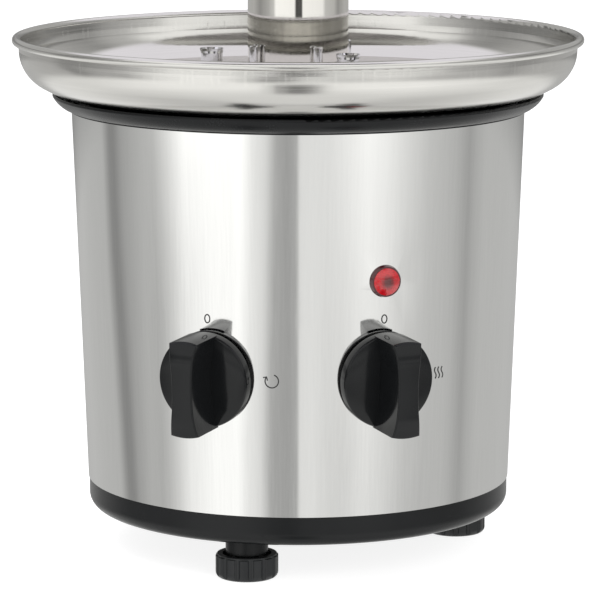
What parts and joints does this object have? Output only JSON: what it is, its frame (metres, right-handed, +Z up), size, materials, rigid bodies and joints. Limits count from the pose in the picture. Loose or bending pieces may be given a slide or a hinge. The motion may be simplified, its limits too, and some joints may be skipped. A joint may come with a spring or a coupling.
{
  "type": "chocolate fountain",
  "caption": "Tabletop chocolate fountain: polished drum with two knobs and a lamp, heated bowl, and a tube with a lifting screw, domed tiers and a crown.",
  "frame": {"origin": "centre of the feet's standing surface, on the axis of the drum, bowl and tube", "axes": "+Z up along the tower, -Y towards the front with the knobs, +X to the right seen from the front"},
  "size_m": [0.3, 0.3, 0.6],
  "materials": {
    "polished_steel": "polished, faint vertical grain",
    "satin_steel": "satin, spun in rings",
    "bright_steel": "polished",
    "black_gloss_plastic": "moulded, semi-gloss",
    "black_matt_plastic": "moulded, matt",
    "knob_plastic": "moulded, gloss",
    "foot_rubber": "moulded, satin",
    "lamp_red": "clear red, glossy",
    "lamp_bezel": "moulded, gloss",
    "silicone": "translucent white, satin",
    "aluminium": "rolled",
    "element_sheath": "heat-darkened",
    "zinc_steel": "zinc plated",
    "cast_alloy": "die-cast, matt",
    "bronze": "sintered",
    "lamination_steel": "stacked sheets, varnished",
    "copper_winding": "enamelled wire",
    "nylon": "moulded, satin",
    "switch_plastic": "moulded, matt"
  },
  "bodies": {
    "root": {"body_shell": "polished_steel", "top_collar": "black_gloss_plastic", "base_pan": "black_gloss_plastic", "bowl": "satin_steel", "locating_pins": "bright_steel", "retaining_studs": "bright_steel", "stud_washers": "silicone", "stud_nuts": "zinc_steel", "shaft_seal": "silicone", "heater_plate": "aluminium", "heater_element": "element_sheath", "bridge_plate": "zinc_steel", "bridge_spacers": "zinc_steel", "machine_screws": "zinc_steel", "thermostat": "zinc_steel", "gearbox_housing": "cast_alloy", "gearbox_cover": "cast_alloy", "sleeve_bearings": "bronze", "idler_axle": "bright_steel", "stator_core": "lamination_steel", "stator_coil": "copper_winding", "coil_bobbin": "nylon", "bearing_brackets": "zinc_steel", "motor_bolts": "zinc_steel", "rotary_switches": "switch_plastic", "switch_nuts": "zinc_steel", "lamp_body": "lamp_bezel", "lamp_lens": "lamp_red", "gland_body": "black_matt_plastic", "gland_cap": "black_matt_plastic", "gland_locknut": "black_matt_plastic", "terminal_block": "nylon", "tie_rods": "zinc_steel"},
    "drive": {"drive_shaft": "bright_steel", "output_gear": "nylon", "drive_pin": "bright_steel"},
    "screw": {"screw_core": "satin_steel", "screw_flight": "satin_steel", "screw_knob": "black_gloss_plastic"},
    "idler": {"idler_gear": "nylon"},
    "rotor": {"rotor_shaft": "bright_steel", "rotor_core": "lamination_steel", "cooling_fan": "nylon"},
    "tower": {"tower_tube": "satin_steel", "rest_pegs": "bright_steel"},
    "lower_tier": {"lower_tier": "satin_steel"},
    "middle_tier": {"middle_tier": "satin_steel"},
    "upper_tier": {"upper_tier": "satin_steel"},
    "crown": {"crown": "satin_steel"},
    "motor_knob": {"motor_knob": "knob_plastic", "motor_knob_shaft": "bright_steel"},
    "heat_knob": {"heat_knob": "knob_plastic", "heat_knob_shaft": "bright_steel"},
    "front_foot": {"front_foot": "foot_rubber", "front_foot_stud": "zinc_steel"},
    "right_foot": {"right_foot": "foot_rubber", "right_foot_stud": "zinc_steel"},
    "left_foot": {"left_foot": "foot_rubber", "left_foot_stud": "zinc_steel"}
  },
  "joints": [
    {"name": "drive_spin", "type": "hinge", "parent": "root", "child": "drive", "pos_m": [0, 0, 0.2], "axis": [0, 0, 1], "continuous": true},
    {"name": "idler_spin", "type": "hinge", "parent": "root", "child": "idler", "pos_m": [-0.01763, 0.02427, 0.2], "axis": [0, 0, 1], "continuous": true},
    {"name": "rotor_spin", "type": "hinge", "parent": "root", "child": "rotor", "pos_m": [-0.03527, 0.04854, 0.15], "axis": [0, 0, 1], "continuous": true},
    {"name": "screw_lift", "type": "slide", "parent": "drive", "child": "screw", "axis": [0, 0, 1], "range_m": [0, 0.32]},
    {"name": "tower_lift", "type": "slide", "parent": "root", "child": "tower", "axis": [0, 0, 1], "range_m": [0, 0.37]},
    {"name": "lower_tier_lift", "type": "slide", "parent": "tower", "child": "lower_tier", "axis": [0, 0, 1], "range_m": [0, 0.18]},
    {"name": "middle_tier_lift", "type": "slide", "parent": "lower_tier", "child": "middle_tier", "axis": [0, 0, 1], "range_m": [0, 0.11]},
    {"name": "upper_tier_lift", "type": "slide", "parent": "middle_tier", "child": "upper_tier", "axis": [0, 0, 1], "range_m": [0, 0.05]},
    {"name": "crown_lift", "type": "slide", "parent": "upper_tier", "child": "crown", "axis": [0, 0, 1], "range_m": [0, 0.03]},
    {"name": "motor_knob_turn", "type": "hinge", "parent": "root", "child": "motor_knob", "pos_m": [-0.04404, -0.1058, 0.108], "axis": [0.384, 0.9226, 0.0368], "range_deg": [0, 90]},
    {"name": "heat_knob_turn", "type": "hinge", "parent": "root", "child": "heat_knob", "pos_m": [0.04404, -0.1058, 0.108], "axis": [-0.384, 0.9226, 0.0368], "range_deg": [0, 90]},
    {"name": "front_foot_level", "type": "slide", "parent": "root", "child": "front_foot", "axis": [0, 0, -1], "range_m": [0, 0.008]},
    {"name": "right_foot_level", "type": "slide", "parent": "root", "child": "right_foot", "axis": [0, 0, -1], "range_m": [0, 0.008]},
    {"name": "left_foot_level", "type": "slide", "parent": "root", "child": "left_foot", "axis": [0, 0, -1], "range_m": [0, 0.008]}
  ],
  "couplings": [
    {"joint": "idler_spin", "follows": "drive_spin", "ratio": -4},
    {"joint": "rotor_spin", "follows": "drive_spin", "ratio": 16}
  ]
}
